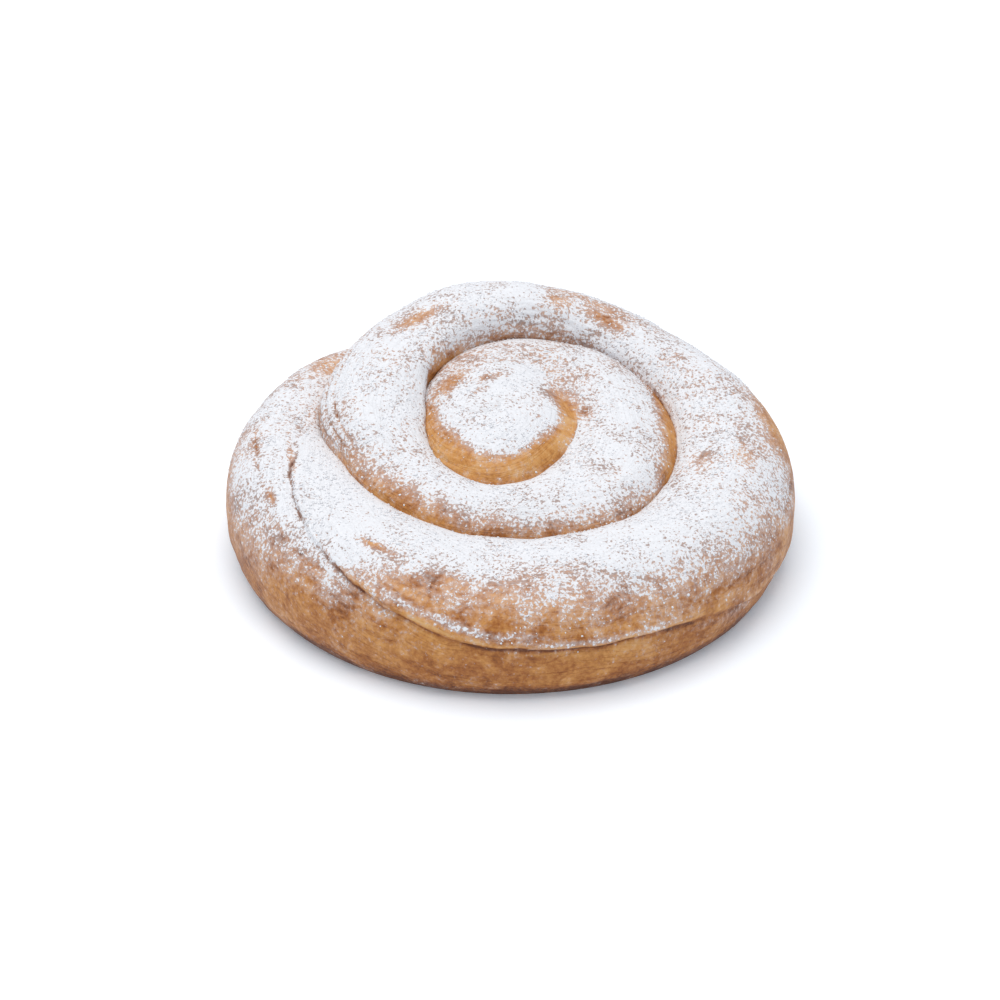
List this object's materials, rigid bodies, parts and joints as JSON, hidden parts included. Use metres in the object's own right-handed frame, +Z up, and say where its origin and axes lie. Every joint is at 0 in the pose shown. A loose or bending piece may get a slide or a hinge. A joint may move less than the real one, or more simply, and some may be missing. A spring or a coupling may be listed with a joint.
{
  "type": "ensaimada",
  "caption": "Coiled laminated pastry bun, a rope of flaky dough wound into a flat snail with a domed middle, sugar-dusted, resting on a flat underside.",
  "frame": {"origin": "centre of the footprint's bounding rectangle, on the flat underside", "axes": "+Z up, the front that the picture shows faces -Y, +X to its right"},
  "size_m": [0.114, 0.1106, 0.0377],
  "materials": {
    "crust": "matt golden baked crust under a dusting of white icing sugar"
  },
  "bodies": {
    "root": {"coiled_dough": "crust"}
  },
  "joints": []
}
